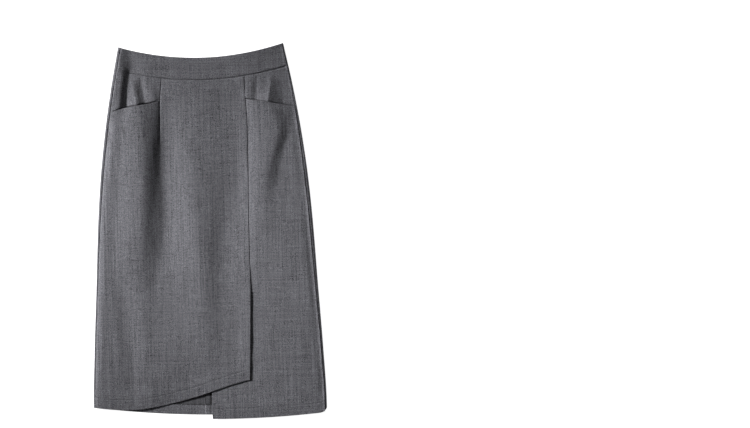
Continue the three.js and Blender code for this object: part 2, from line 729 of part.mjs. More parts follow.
function fromSolid(solid) {
  const { vertProperties, triVerts } = solid.getMesh();
  const geometry = new THREE.BufferGeometry();
  geometry.setAttribute("position", new THREE.BufferAttribute(vertProperties, 3));
  geometry.setIndex(new THREE.BufferAttribute(triVerts, 1));
  geometry.computeVertexNormals();
  return geometry;
}

// Slider: a body between the two ends of the waistband, and a bridge that the pull hangs on.
const SLIDER_HALF = 2.7;
const BRIDGE_HALF = 0.8;
const BRIDGE_INNER = 0.66;
const BRIDGE_OUTER = 1.4;
function zipSlider() {
  const bodyLength = 9;
  const bodyLow = HINGE_Z + BRIDGE_INNER + 0.1;
  const outline = new THREE.Shape();
  const [wide, narrow, low] = [SLIDER_HALF, SLIDER_HALF * 0.62, SLIDER_TOP_Y - bodyLength];
  outline.moveTo(-narrow, low);
  outline.lineTo(narrow, low);
  outline.quadraticCurveTo(wide, low + 3, wide, SLIDER_TOP_Y - 2);
  outline.quadraticCurveTo(wide, SLIDER_TOP_Y, wide - 1.4, SLIDER_TOP_Y);
  outline.lineTo(1.4 - wide, SLIDER_TOP_Y);
  outline.quadraticCurveTo(-wide, SLIDER_TOP_Y, -wide, SLIDER_TOP_Y - 2);
  outline.quadraticCurveTo(-wide, low + 3, -narrow, low);
  const body = new THREE.ExtrudeGeometry(outline, {
    depth: 2.2, bevelEnabled: false, curveSegments: 4,
  }).translate(0, 0, bodyLow);
  // Side view of the bridge, drawn in (y, z) and extruded across
  const legTop = bodyLow + 0.4 - HINGE_Z;
  const bridge = new THREE.Shape();
  bridge.moveTo(-BRIDGE_OUTER, legTop);
  bridge.lineTo(-BRIDGE_OUTER, -BRIDGE_OUTER + 0.5);
  bridge.lineTo(-BRIDGE_OUTER + 0.5, -BRIDGE_OUTER);
  bridge.lineTo(BRIDGE_OUTER - 0.5, -BRIDGE_OUTER);
  bridge.lineTo(BRIDGE_OUTER, -BRIDGE_OUTER + 0.5);
  bridge.lineTo(BRIDGE_OUTER, legTop);
  bridge.lineTo(BRIDGE_INNER, legTop);
  bridge.lineTo(BRIDGE_INNER, -BRIDGE_INNER);
  bridge.lineTo(-BRIDGE_INNER, -BRIDGE_INNER);
  bridge.lineTo(-BRIDGE_INNER, legTop);
  bridge.closePath();
  const loop = new THREE.ExtrudeGeometry(bridge, { depth: 2 * BRIDGE_HALF, bevelEnabled: false });
  loop.rotateY(Math.PI / 2).rotateX(Math.PI / 2).translate(-BRIDGE_HALF, HINGE_Y, HINGE_Z);
  return named("zip_slider", fromSolid(toSolid(body).add(toSolid(loop))), ZIP_METAL);
}

// Pull tab: a flat drop with an eye that turns on the bridge.
function zipPull() {
  const barHalf = 0.4;
  const eyeHalf = 1.5;
  const eyeEnd = -2.9;
  const [neck, belly, tip] = [2.5, 4, -PULL_LENGTH];
  const outline = new THREE.Shape();
  outline.moveTo(-neck, barHalf);
  outline.lineTo(neck, barHalf);
  outline.bezierCurveTo(neck, -6, belly, -10, belly, tip + 6);
  outline.bezierCurveTo(belly, tip + 2, 2, tip, 0, tip);
  outline.bezierCurveTo(-2, tip, -belly, tip + 2, -belly, tip + 6);
  outline.bezierCurveTo(-belly, -10, -neck, -6, -neck, barHalf);
  const eye = new THREE.Path();
  eye.moveTo(-eyeHalf, -barHalf);
  eye.lineTo(-eyeHalf, eyeEnd);
  eye.lineTo(eyeHalf, eyeEnd);
  eye.lineTo(eyeHalf, -barHalf);
  eye.closePath();
  outline.holes.push(eye);
  const geometry = new THREE.ExtrudeGeometry(outline, {
    depth: 2 * barHalf, bevelEnabled: false, curveSegments: 6,
  }).translate(0, 0, -barHalf);
  const pull = named("zip_pull", geometry, ZIP_METAL);
  pull.position.set(0, HINGE_Y, HINGE_Z);
  return pull;
}

const skirt = new THREE.Group();
skirt.add(
  frontWaistband(),
  frontWrapPanel(),
  frontSidePanel(),
  pocketBearer("pocket_bearer_right", {
    left: (y) => rightSeam(y) + SEAM_GAP / 2,
    right: (y) => dart(y) - SEAM_GAP,
    bagLeft: (y) => rightSeam(y) + BAG_INSET,
    bagRight: (y) => dart(y) - BAG_INSET,
    mouth: rightMouth,
    floor: yokeFloor,
  }),
  pocketBearer("pocket_bearer_left", {
    left: (y) => frontSeam(y) - LAP,
    right: (y) => leftSeam(y) - SEAM_GAP / 2,
    bagLeft: (y) => frontSeam(y) + BAG_INSET,
    bagRight: (y) => leftSeam(y) - BAG_INSET,
    mouth: (x) => leftMouth(Math.max(x, LEFT_MOUTH[0].x)),
    floor: leftBearerFloor,
  }),
  backWaistband("back_waistband_left", 1),
  backWaistband("back_waistband_right", -1),
  backPanel("back_panel_left", 1),
  backPanel("back_panel_right", -1),
  zipChain(),
  zipSlider(),
  zipPull(),
);

// The origin goes to the middle of the box
const box = new THREE.Box3().setFromObject(skirt);
const middle = box.getCenter(new THREE.Vector3());
skirt.position.set(-middle.x, -middle.y, -box.min.z);

export default skirt;
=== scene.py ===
"""A wrap-front pencil skirt in grey suiting, laid flat on its back with the front up.

Sizes are in millimetres until a mesh is made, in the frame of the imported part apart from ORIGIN_Y.
+X is the wearer's left, +Y runs from hem to waist and +Z is up.
"""

import math

import bpy
import numpy as np
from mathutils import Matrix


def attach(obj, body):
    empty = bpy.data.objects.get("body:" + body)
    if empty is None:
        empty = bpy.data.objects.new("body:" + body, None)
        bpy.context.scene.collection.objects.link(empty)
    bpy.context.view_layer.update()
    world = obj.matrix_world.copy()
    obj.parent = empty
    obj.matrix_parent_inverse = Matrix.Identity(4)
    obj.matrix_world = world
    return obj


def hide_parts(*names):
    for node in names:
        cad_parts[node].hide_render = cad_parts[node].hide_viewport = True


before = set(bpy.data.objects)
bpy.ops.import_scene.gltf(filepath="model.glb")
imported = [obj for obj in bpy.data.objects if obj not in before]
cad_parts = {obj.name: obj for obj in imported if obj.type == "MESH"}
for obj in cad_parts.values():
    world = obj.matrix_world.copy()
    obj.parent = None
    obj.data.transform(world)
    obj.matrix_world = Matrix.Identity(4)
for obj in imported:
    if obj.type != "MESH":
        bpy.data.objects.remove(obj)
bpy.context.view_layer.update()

MM = 0.001
ORIGIN_Y = 0.214  # the part's own frame lies this much lower than the one the sizes are in

# Driving sizes
CLOTH = 1.2
BAND_WALL = 2.2
SEAM_GAP = 0.3
SEAM_MEET = 0.15  # the pieces run this far past a sewn seam
LAID_GAP = 0.6
WAIST_HALF = 165.0
WAIST_TOP_Y = 349.0
BAND_HEIGHT = 45.0
WAIST_DIP = 25.0
BAND_MIDDLE_Y = 329.0
BACK_HEM_Y = -365.0
HEM_DIP = 14.0
HEM_SKEW = 6.0
SIDE_PANEL_DROP = 8.8
HEM_DEPTH = 20.0
CORNER_ROUND = 15.0
CORNER_RISE = 9.0
BACK_SEAM_ALLOWANCE = 10.0
ALLOWANCE_WALL = 0.9
OVERLOCK = 3.6  # width of the overlocked edge of a seam allowance
LAP = 12.0
UNDERLAP_X = 4.0
SLIT_TOP_Y = -98.0
SLIT_OPENING = 1.5
POCKET_BAG_DEPTH = 70.0
POCKET_LIFT = 2.6
POCKET_FLARE = 0.9
BAG_INSET = 20.0
ZIP_BULGE = 2.2
BACK_DART_DEPTH = 0.6
BACK_DART_HALF = 5.0
# The front rises this much within this distance of the right side seam
EDGE_ROUND = 2.0
EDGE_RISE = 2.3
# and this much more at the left side seam, within this width
EDGE_LIP = 1.0
LIP_WIDTH = 3.5
# Groove where the rolled edge of the back meets the front
SEAM_GROOVE = 1.4
SEAM_GROOVE_WIDTH = 2.2
# A pocket bearer dips this much at its mouth, within this height, and swells above
BEARER_TUCK = 4.4
BEARER_TUCK_HEIGHT = 4.6
BEARER_SWELL = 1.3

# Half the flat width of the skirt: y, half
OUTLINE = [
    (374, WAIST_HALF), (294, 181), (204, 195.8), (113, 207.1), (22, 214.6),
    (-114, 222), (-240, 229), (-345, 233), (-375, 233),
]
# How far the back rolls round on to the front, and the lift of the seams: y, right, left,
# left lift, right lift
SIDE_ROLL = [
    (374, 5.6, 3, 0.8, 4.2), (345, 5.9, 3, 0.9, 5), (325, 6.2, 3.2, 1.1, 5.6), (265, 6.4, 4.2, 2.2, 5.8),
    (225, 6.4, 5, 3.6, 4), (190, 6.4, 5.8, 4.2, 3), (160, 6.4, 6.4, 4.8, 3), (120, 6.2, 7, 5.6, 3),
    (60, 5.8, 7.2, 6.7, 3.2), (-20, 4.8, 6.9, 7, 3), (-120, 3.4, 5.6, 5.8, 2), (-240, 3.2, 4.7, 4, 1.6),
    (-320, 3.6, 4.1, 2, 1.2), (-375, 3.8, 4, 0.8, 0.8),
]
# Foot of the steep fold at the right of the waist: y, x
WAIST_CREASE = [
    (374, -162), (345, -154), (328, -150), (310, -151.5), (285, -156), (255, -160), (200, -166),
    (150, -178),
]
# Height of the front along the lines where it crests and dips: y, x, height
RELIEF = {
    "shoulder_right": [
        (374, -140, 1.6), (330, -146, 2), (265, -160, 3.2), (200, -178, 6.2), (120, -182, 6.9),
        (40, -189, 6.9), (-120, -204, 6.3), (-240, -212, 5.7), (-320, -216, 4.4), (-345, -217, 3.3),
        (-375, -217, 2.4),
    ],
    "crest_right": [
        (374, -112, 2.6), (330, -116, 3.6), (265, -129, 8), (200, -126, 13.2), (120, -123, 15),
        (40, -130, 14.4), (-40, -134, 12), (-120, -136, 9), (-240, -130, 7), (-320, -130, 3.8),
        (-345, -130, 2.3), (-375, -128, 1.2),
    ],
    "dip_below_dart": [
        (374, -80, 2.6), (330, -80, 3.2), (265, -76, 1.4), (187, -75, 1.1), (160, -76, 1.1),
        (120, -77, 1.1), (40, -77, 1.2), (-40, -84, 3), (-120, -100, 6.8), (-240, -106, 7.3),
        (-320, -106, 3), (-345, -106, 1.3), (-375, -106, 0.7),
    ],
    "crest_centre": [
        (374, -26, 2.8), (330, -26, 3.6), (265, -24, 3.4), (200, -26, 4.9), (120, -20, 8),
        (40, -20, 10), (-40, -15, 10.2), (-120, -12, 9), (-240, -15, 6.4), (-320, -10, 1.6),
        (-345, -8, 0.5), (-375, -5, 0.4),
    ],
    "dip_centre": [
        (374, 45, 2.4), (330, 50, 3), (265, 54, 1.8), (200, 62, 1.4), (120, 64, 1.2),
        (40, 56, 1.8), (-40, 38, 3.2), (-120, 36, 4.8), (-240, 42, 4.5), (-320, 80, 1.5),
        (-375, 84, 0.4),
    ],
    "crest_left": [
        (374, 92, 2.2), (330, 98, 3.4), (265, 124, 5.4), (200, 147, 7.6), (160, 137, 8.4),
        (120, 126, 9.3), (80, 121, 9.8), (40, 122, 9.9), (-40, 124, 9.6), (-120, 128, 8.1),
        (-240, 132, 5.8), (-320, 132, 4.2), (-375, 132, 0.6),
    ],
    "dip_left": [
        (374, 130, 1.6), (330, 136, 1.9), (265, 168, 1.9), (200, 175, 1.4), (160, 163, 2.5),
        (120, 153, 4.4), (80, 147, 6.6), (40, 143, 9), (-40, 150, 9.4), (-120, 157, 7.9),
        (-240, 162, 5.7), (-320, 162, 4.2), (-375, 160, 0.7),
    ],
    "shoulder_left": [
        (374, 151, 1.4), (330, 157, 1.6), (265, 174, 2), (200, 184, 3), (160, 184, 3.4),
        (120, 186, 4.9), (80, 187, 6.4), (40, 190, 7.8), (-40, 196, 8.6), (-120, 202, 7.5),
        (-240, 211, 4.8), (-320, 214, 3.2), (-375, 216, 0.8),
    ],
}
# Soft folds: upper end, lower end, curl of the path, share of the height, half-widths, taper,
# crease, fade in, fade out
FRONT_FOLDS = [
    ((-176, -30), (-148, -352), 1, 0.3, (26, 34), 1, 0.1, 0.45, 0.15),
]
YOKE_FOLDS = [
    ((-141, 378), (-150, 225), 0.8, 0.72, (14, 42), 0.9, 0.3, 0.45, 0.2),
    ((-126, 330), (-110, 240), 1, 0.7, (9, 12), 2.2, 0.4, 0.3, 0),
    ((156, 336), (176, 225), 1, 0.4, (26, 24), 1, 0.1, 0.4, 0),
    ((112, 326), (103, 235), 1, 0.45, (10, 14), 1, 0.2, 0.5, 0),
]
# Ridges of the yoke: the same, with a height in the place of the share
YOKE_RIDGES = [
    ((-139, 322), (-131, 248), 1, 3.6, (16, 10), 1.6, 0.6, 0.5, 0),
    ((141, 324), (131, 248), 1, 5.2, (8, 13), 3.1, 0.8, 0.85, 0.12),
    ((-152, 296), (-158, 238), 1, -3, (7, 9), 1.5, 0.3, 0.75, 0),
]
WRAP_HEM = [
    (-235, -344.5), (-190, -350.2), (-150, -351.5), (-100, -345), (-36, -331), (20, -314),
    (51, -304.5), (84, -296.5),
]
FRONT_SEAM = [(310, 84.5), (203, 88.5), (-25, 86.5), (-110, 87), (-200, 84.5), (-300, 81)]
DART = [(310, -80), (264, -84), (187, -86)]
RIGHT_MOUTH = [(-192, 241), (-152, 252.5), (-110, 259), (-84, 265)]
LEFT_MOUTH = [(86, 264.5), (128, 257), (192, 246)]
BACK_DART = [(310, 87), (200, 95)]
DART_END_Y = 187.0


# Curves and heights
def mix(a, b, t):
    return a + (b - a) * t


def ease(start, end, at):
    t = np.clip((at - start) / (end - start), 0, 1)
    return t * t * (3 - 2 * t)


def tangents_of(steps):
    """Tangents at the points of a curve that never overshoots them."""
    before = np.concatenate([steps[:1], steps])
    after = np.concatenate([steps, steps[-1:]])
    total = before + after
    return np.where(before * after <= 0, 0, 2 * before * after / np.where(total == 0, 1, total))


def curve_of(rows, column=1):
    """A smooth curve through one column of a table, as a function of its first column."""
    rows = sorted(rows)
    at = np.array([r[0] for r in rows], float)
    value = np.array([r[column] for r in rows], float)
    tangents = tangents_of(np.diff(value) / np.diff(at))

    def curve(a):
        c = np.clip(a, at[0], at[-1])
        i = np.clip(np.searchsorted(at, c, side="left") - 1, 0, len(at) - 2)
        span = at[i + 1] - at[i]
        t = (c - at[i]) / span
        bend = t * (1 - t) * span
        return mix(value[i], value[i + 1], t * t * (3 - 2 * t)) + bend * (
            (1 - t) * tangents[i] - t * tangents[i + 1]
        )

    return curve


def section_curve(points_x, points_z, x):
    """The same curve through a section that is different for each x: one row per point."""
    steps = np.diff(points_z, axis=0) / np.maximum(np.diff(points_x, axis=0), 1e-6)
    tangents = tangents_of(steps)
    c = np.clip(x, points_x[0], points_x[-1])
    i = (c[None] > points_x[1:-1]).sum(0)

    def take(table, row):
        return np.take_along_axis(table, row[None], 0)[0]

    start, end = take(points_x, i), take(points_x, i + 1)
    span = np.maximum(end - start, 1e-6)
    t = (c - start) / span
    height = mix(take(points_z, i), take(points_z, i + 1), t * t * (3 - 2 * t))
    bend = t * (1 - t) * span
    return height + bend * ((1 - t) * take(tangents, i) - t * take(tangents, i + 1))


half_width = curve_of(OUTLINE)
roll_right = curve_of(SIDE_ROLL, 1)
roll_left = curve_of(SIDE_ROLL, 2)
left_lift = curve_of(SIDE_ROLL, 3)
right_lift = curve_of(SIDE_ROLL, 4)
waist_crease = curve_of(WAIST_CREASE)
relief_lines = [(curve_of(rows, 1), curve_of(rows, 2)) for rows in RELIEF.values()]
wrap_hem = curve_of(WRAP_HEM)
front_seam = curve_of(FRONT_SEAM)
dart = curve_of(DART)
right_mouth = curve_of(RIGHT_MOUTH)
left_mouth = curve_of(LEFT_MOUTH)
back_dart = curve_of(BACK_DART)


def waist_top(x):
    return WAIST_TOP_Y + WAIST_DIP * (x / WAIST_HALF) ** 2


def waist_seam(x):
    return WAIST_TOP_Y - BAND_HEIGHT + WAIST_DIP * (x / half_width(BAND_MIDDLE_Y)) ** 2


def hem_line(x):
    across = x / half_width(BACK_HEM_Y)
    into = np.clip((x - half_width(BACK_HEM_Y) + CORNER_ROUND) / CORNER_ROUND, 0, 1)
    corner = CORNER_RISE * (1 - np.sqrt(1 - into**2))
    return BACK_HEM_Y + HEM_DIP * across**2 - HEM_SKEW * across + corner


def back_hem(x):
    """The hem of the back, which comes down to the side panel's at the left side seam."""
    half = half_width(BACK_HEM_Y)
    return hem_line(x) - (SIDE_PANEL_DROP - 0.8) * ease(half - 30, half - 9, x)


def side_hem(x):
    return hem_line(x) - SIDE_PANEL_DROP


def right_seam(y):
    return -(half_width(y) - roll_right(y))


def left_seam(y):
    return half_width(y) - roll_left(y)


def lap_edge(y):
    above = ease(SLIT_TOP_Y + 10, SLIT_TOP_Y + 40, y)
    return mix(UNDERLAP_X, front_seam(y) - LAP, above)


def fold_at(fold, x, y):
    """The share of a fold's depth that it has at a point."""
    (from_x, from_y), (to_x, to_y), curl, _, (left, right), taper, crease, fade_in, fade_out = fold
    t = (from_y - y) / (from_y - to_y)
    along = np.clip(t, 0, 1)
    centre = mix(from_x, to_x, along**curl)
    width = np.where(x < centre, left, right) * mix(1, taper, along)
    off = np.minimum(np.abs(x - centre) / width, 1)
    profile = mix((1 - off) ** 2 * (1 + 2 * off), (1 - off) ** 2, crease)
    begin = ease(0, fade_in, along) if fade_in else 1
    return np.where((t <= 0) | (t >= 1), 0, profile * begin * (1 - ease(1 - fade_out, 1, along)))


def rise(x, y, folds, ridges=()):
    """Height of the front above the layers under it. The yoke alone has ridges and the steep fold."""
    x, y = np.broadcast_arrays(np.asarray(x, float), np.asarray(y, float))
    flat = 0 * y
    places = np.stack(
        [right_seam(y), right_seam(y) + EDGE_ROUND]
        + [line_x(y) for line_x, _ in relief_lines]
        + [left_seam(y) - LIP_WIDTH, left_seam(y)]
    )
    heights = np.stack(
        [flat, flat + EDGE_RISE]
        + [line_z(y) for _, line_z in relief_lines]
        + [left_lift(y), left_lift(y) + EDGE_LIP]
    )
    height = section_curve(places, heights, x)
    for fold in folds:
        height = height * (1 - fold[3] * fold_at(fold, x, y))
    for ridge in ridges:
        height = height + ridge[3] * fold_at(ridge, x, y)
    side = right_lift(y) * (1 - ease(0, 34, x - right_seam(y)))
    if ridges:
        foot, soft = waist_crease(y), 6 * ease(318, 345, y)
        steep = right_lift(y) * (1 - ease(foot - 10 - soft, foot + 8 + 2 * soft, x))
        side = mix(side, steep, ease(170, 230, y))
    return height + side


def zip_bulge(x, y):
    return ZIP_BULGE * (1 - ease(5.5, 34, np.abs(x))) * ease(286, 316, y)


def front_base(x, y):
    over_hem = CLOTH * (1 - ease(HEM_DEPTH + 3, HEM_DEPTH + 30, y - back_hem(x)))
    return CLOTH + LAID_GAP + over_hem + (BAND_WALL - CLOTH) * ease(268, 300, y)


def hem_lift(above_hem):
    return CLOTH * (1 - ease(HEM_DEPTH, HEM_DEPTH + 26, above_hem))


def pocket_lift(x, y, mouth_y, edge_distance, sharp=0.0):
    across = ease(0, BAG_INSET - 3, edge_distance)
    steep = 1 - (1 - np.clip(edge_distance / (BAG_INSET - 3), 0, 1)) ** 2
    across = mix(across, steep, sharp)
    down = ease(mouth_y - POCKET_BAG_DEPTH - 110, mouth_y - POCKET_BAG_DEPTH - 4, y)
    flare = POCKET_FLARE * ease(mouth_y - 40, mouth_y, y) * ease(10, 50, edge_distance)
    return across * (POCKET_LIFT * down + flare)


def yoke_floor(x, y):
    return front_base(x, y) + rise(x, y, FRONT_FOLDS + YOKE_FOLDS, YOKE_RIDGES)


def lap_dip(x, y):
    above = ease(SLIT_TOP_Y - 4, SLIT_TOP_Y + 22, y)
    seam = front_seam(y)
    beside = 0.65 * (1 - ease(seam - 0.6, seam + 2, x)) + 0.35 * (1 - ease(seam - 0.6, seam + 11, x))
    return (CLOTH + SEAM_GAP) * above * beside


def left_bearer_floor(x, y):
    return yoke_floor(x, y) - lap_dip(x, y)


def wrap_floor(x, y):
    edge = mix(UNDERLAP_X, front_seam(y) - LAP, ease(SLIT_TOP_Y + 12, SLIT_TOP_Y + 190, y))
    above = ease(SLIT_TOP_Y - 2, SLIT_TOP_Y + 45, y)
    reach = mix(42, 70, ease(-300, -200, y))
    over_lap = mix(CLOTH + LAID_GAP, LAID_GAP / 2, above) * ease(edge - reach, edge - 2, x)
    opened = ease(-298, -215, y) * (1 - ease(SLIT_TOP_Y - 40, SLIT_TOP_Y, y))
    open_edge = SLIT_OPENING * opened * ease(50, 80, x)
    inside = np.minimum(x - right_seam(y), dart(y) - x)
    sharp = ease(155, 195, y) * (x > dart(y) - 40)
    pocket = np.where(x < dart(y), pocket_lift(x, y, right_mouth(x), inside, sharp), 0)
    lap = ease(edge - reach, edge - 2, x)
    beyond_hem = ease(-120, -70, x) * (1 - ease(HEM_DEPTH + 3, HEM_DEPTH + 30, y - back_hem(x)))
    height = front_base(x, y) + rise(x, y, FRONT_FOLDS)
    height = height - (CLOTH + LAID_GAP / 2) * beyond_hem * (1 - lap)
    return height + over_lap + open_edge + pocket + hem_lift(y - wrap_hem(x))


def side_panel_floor(x, y):
    inside = np.minimum(left_seam(y) - x, x - front_seam(y))
    pocket = np.where(x > front_seam(y), pocket_lift(x, y, left_mouth(x), inside), 0)
    height = front_base(x, y) + rise(x, y, FRONT_FOLDS)
    return height + pocket - lap_dip(x, y) + hem_lift(y - side_hem(x))


# Cloth detail
# Slow unevenness of pressed cloth: wavelength across, wavelength along, slant, phase, height
UNEVENNESS = [
    (61, 173, 0.21, 0.4, 0.16),
    (37, 121, -0.33, 2.1, 0.09),
    (97, 71, 0.15, 4.0, 0.12),
    (143, 47, -0.1, 1.3, 0.08),
]
RIM = 0.75  # a turned edge is rounded within this


def unevenness(x, y):
    total = 0
    for across, along, slant, phase, height in UNEVENNESS:
        a = 2 * math.pi * (x + slant * y) / across + phase
        b = 2 * math.pi * (y - slant * x) / along + 1.7 * phase
        total = total + height * np.sin(a) * np.cos(b)
    return total


def groove(distance, depth, half):
    """Depth of a pressed line, from the distance to it."""
    off = np.minimum(np.abs(distance) / half, 1)
    return depth * (1 - off) ** 2 * (1 + 2 * off)


def puckers(distance, along, height, reach=7.0):
    """Small ripples that a line of sewing pulls into the cloth beside it."""
    wave = np.sin(2 * math.pi * along / 8.3 + 0.8 * np.sin(along / 13.0))
    wave = wave + 0.6 * np.sin(2 * math.pi * along / 14.7 + 2.0)
    return height * wave * np.exp(-np.abs(distance) / reach)


def rim_share(distance):
    """Share of the wall's thickness left at this distance from a turned edge."""
    into = np.clip(distance / RIM, 0, 1)
    return np.maximum(np.sqrt(1 - (1 - into) ** 2), 0.12)


def upright(floor, wall, x, y):
    step = 0.5
    slope_x = (floor(x + step, y) - floor(x - step, y)) / (2 * step)
    slope_y = (floor(x, y + step) - floor(x, y - step)) / (2 * step)
    return wall * np.minimum(np.sqrt(1 + slope_x**2 + slope_y**2), 1.5)


# Nets and meshes
EDGE_STEPS = [0.0, 0.06, 0.22, 0.45, 0.75]  # extra lines of a net beside a turned edge


def shares(count):
    """Even shares between two edges, without the ends."""
    return [(k / count, 0.0) for k in range(1, count)]


def from_edge(offsets=EDGE_STEPS):
    return [(0.0, d) for d in offsets]


def to_edge(offsets=EDGE_STEPS):
    return [(1.0, -d) for d in reversed(offsets)]


def column_family(left, right, places):
    """Columns as functions of y, each at a share of the width and an offset from there."""
    return [lambda y, s=s, d=d: mix(left(y), right(y), s) + d for s, d in places]


def meeting(columns, boundary, start=0.0):
    """The y at which each column meets a boundary that is a function of x."""
    y = np.full(len(columns), start)
    for _ in range(10):
        y = boundary(np.array([column(v) for column, v in zip(columns, y)]))
    return y


def net_points(columns, rows, start=0.0):
    """x and y of a net. A row is (boundary, boundary or None, share, offset)."""
    met = {}
    x, y = [], []
    for first, second, share, offset in rows:
        for boundary in (first, second):
            if boundary is not None and boundary not in met:
                met[boundary] = meeting(columns, boundary, start)
        level = met[first] + offset
        if second is not None:
            level = mix(met[first], met[second], share) + offset
        y.append(level)
        x.append(np.array([column(v) for column, v in zip(columns, level)]))
    return np.array(x).T, np.array(y).T


def rows_between(first, second, places):
    return [(first, second, s, -d) for s, d in places]


def hem_rows(hem):
    """A turned-up hem, from its stitched top down to the fold."""
    top = [(hem, None, 0, HEM_DEPTH + d) for d in (2.4, 1.2, 0.5, 0.0, -0.5, -1.2)]
    middle = [(hem, None, 0, d) for d in (17.0, 14.0, 11.0, 8.0, 5.0, 2.5, 1.3)]
    fold = [(hem, None, 0, d) for d in reversed(EDGE_STEPS)]
    return top + middle + fold


def mesh_object(name, points, faces, material, body="skirt"):
    points = np.asarray(points, float).copy()
    points[:, 1] += ORIGIN_Y
    mesh = bpy.data.meshes.new(name)
    mesh.from_pydata((points * MM).tolist(), [], [list(map(int, f)) for f in faces])
    mesh.validate()
    mesh.polygons.foreach_set("use_smooth", [True] * len(mesh.polygons))
    mesh.update()
    piece = bpy.data.objects.new(name, mesh)
    bpy.context.scene.collection.objects.link(piece)
    mesh.materials.append(material)
    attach(piece, body)
    return piece


def shell_object(name, upper, lower, cells, material, inside=None):
    """A closed sheet of cloth from two nets of points; cells says where there is cloth.

    inside is (choice of material for each cell of the upper face, the other materials).
    """
    across, down = upper.shape[:2]
    ids = np.arange(across * down).reshape(across, down)
    below = across * down
    padded = np.zeros((across + 1, down + 1), bool)
    padded[1:-1, 1:-1] = cells
    faces = []
    i, j = np.nonzero(cells)
    a, b, c, d = ids[i, j], ids[i, j + 1], ids[i + 1, j + 1], ids[i + 1, j]
    faces.append(np.stack([a, b, c, d], 1))
    faces.append(np.stack([d, c, b, a], 1) + below)
    rims = [
        (padded[:-2, 1:-1], b, a),
        (padded[2:, 1:-1], d, c),
        (padded[1:-1, :-2], a, d),
        (padded[1:-1, 2:], c, b),
    ]
    for neighbour, start, end in rims:
        bare = ~neighbour[i, j]
        s, e = start[bare], end[bare]
        faces.append(np.stack([s, e, e + below, s + below], 1))
    faces = np.concatenate(faces)
    points = np.concatenate([upper.reshape(-1, 3), lower.reshape(-1, 3)])
    used, faces = np.unique(faces, return_inverse=True)
    faces = faces.reshape(-1, 4)
    points = points[used]
    corner = points[faces]
    volume = np.einsum("ij,ij->i", corner[:, 0], np.cross(corner[:, 1], corner[:, 2])).sum()
    volume += np.einsum("ij,ij->i", corner[:, 0], np.cross(corner[:, 2], corner[:, 3])).sum()
    if volume < 0:
        faces = faces[:, ::-1]
    piece = mesh_object(name, points, faces, material)
    if inside is not None:
        for other in inside[1]:
            piece.data.materials.append(other)
        marks = np.zeros(len(faces), np.int32)
        marks[: len(i)] = inside[0][i, j]
        piece.data.polygons.foreach_set("material_index", marks)
        piece.data.update()
    return piece


def panel_sides(x, y, floor, wall, edge, detail=0.0, turned=None):
    """Upper and lower points of a front piece, rounded off at its edges."""
    low = floor(x, y) + detail
    thick = upright(floor, wall, x, y)
    middle = low + thick / 2
    share = rim_share(edge)
    under = middle - thick / 2 * share
    if turned is not None:
        under = under - CLOTH * turned
    upper = np.stack([x, y, middle + thick / 2 * share], -1)
    return upper, np.stack([x, y, under], -1)


def below_seam(x):
    return waist_seam(x) + SEAM_MEET


def above_seam(x):
    return waist_seam(x) - SEAM_MEET


# Material
def node(tree, kind, **values):
    made = tree.nodes.new(kind)
    for key, value in values.items():
        if key in made.inputs:
            made.inputs[key].default_value = value
        else:
            setattr(made, key, value)
    return made


def maths(tree, operation, a, b, clamp=False):
    made = tree.nodes.new("ShaderNodeMath")
    made.operation = operation
    made.use_clamp = clamp
    for socket, value in zip(made.inputs, (a, b)):
        if isinstance(value, (int, float)):
            socket.default_value = value
        else:
            tree.links.new(value, socket)
    return made.outputs[0]


def thread_noise(tree, coordinates, spacing, length, along_y, detail=2.0):
    """Streaks as wide as a few threads. spacing and length are in millimetres."""
    across, along = 1000 / spacing, 1000 / length
    scale = (across, along, across) if along_y else (along, across, across)
    mapping = node(tree, "ShaderNodeMapping")
    mapping.inputs["Scale"].default_value = scale
    mapping.inputs["Location"].default_value = NOISE_OFFSET
    tree.links.new(coordinates, mapping.inputs["Vector"])
    noise = node(tree, "ShaderNodeTexNoise", Scale=1.0, Detail=detail, Roughness=0.6)
    tree.links.new(mapping.outputs[0], noise.inputs["Vector"])
    return maths(tree, "SUBTRACT", noise.outputs["Fac"], 0.5)


# Suiting: streaks of yarn, with the width and length of one and how strongly it shows
YARN_STREAKS = [
    (0.8, 1.2, True, 3.8),
    (0.8, 1.3, False, 2.9),
    (0.7, 0.8, True, 2.4),
    (1.5, 260.0, True, 1.5),
    (1.6, 140.0, False, 1.0),
]
NOISE_OFFSET = (0.37, 0.61, 0.45)  # keeps the flat underside off the planes where noise is weak
YARN_PITCH = 0.8  # from one yarn to the next


